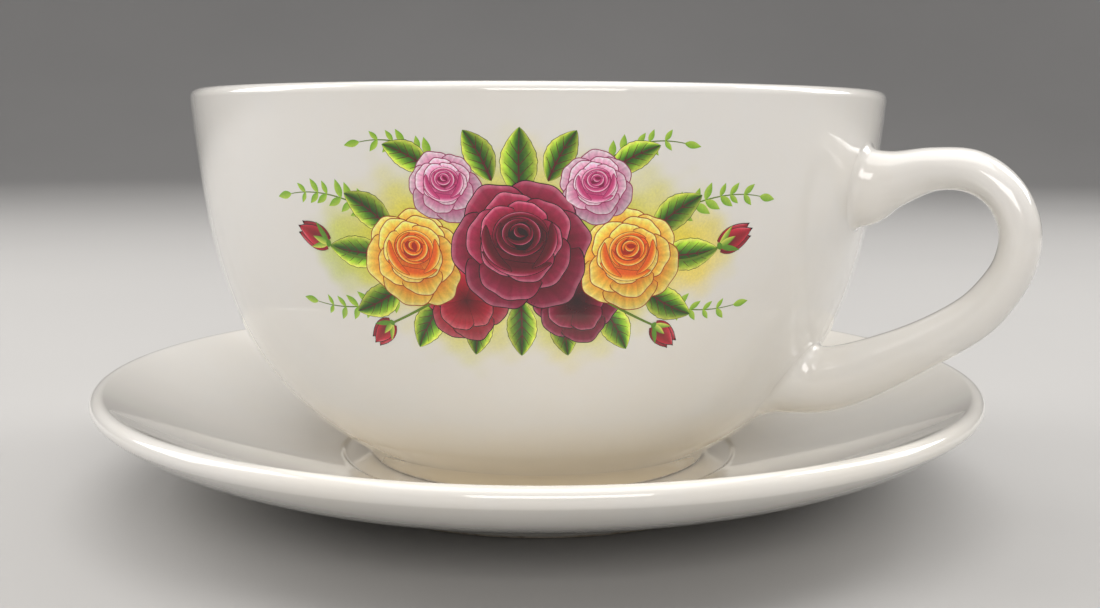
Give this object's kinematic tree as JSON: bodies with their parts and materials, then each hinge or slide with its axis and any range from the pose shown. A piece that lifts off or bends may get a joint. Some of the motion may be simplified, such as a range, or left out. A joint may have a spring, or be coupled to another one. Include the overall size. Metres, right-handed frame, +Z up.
{
  "type": "teacup",
  "caption": "Low wide porcelain teacup with a loop handle and a printed rose spray, standing in the well of its round saucer, which it lifts off.",
  "frame": {"origin": "on the cup's axis, at the level of the table that the saucer's foot ring stands on", "axes": "+Z up along the axis of the cup and saucer; +X out along the handle; the printed spray faces between -Y and +X"},
  "size_m": [0.1363, 0.13, 0.058],
  "materials": {
    "cup_glaze": "glossy clear glaze over warm white porcelain",
    "saucer_glaze": "glossy clear glaze over warm white porcelain",
    "rose_print": null
  },
  "bodies": {
    "saucer": {"saucer_dish": "saucer_glaze", "saucer_foot_ring": "saucer_glaze"},
    "cup": {"cup_bowl": "cup_glaze", "cup_foot_ring": "cup_glaze", "cup_handle": "cup_glaze", "upper_slip_joint": "cup_glaze", "lower_slip_joint": "cup_glaze", "rose_transfer": "rose_print"}
  },
  "joints": [
    {"name": "cup_lift", "type": "slide", "parent": "saucer", "child": "cup", "axis": [0, 0, 1], "range_m": [0, 0.09]}
  ]
}
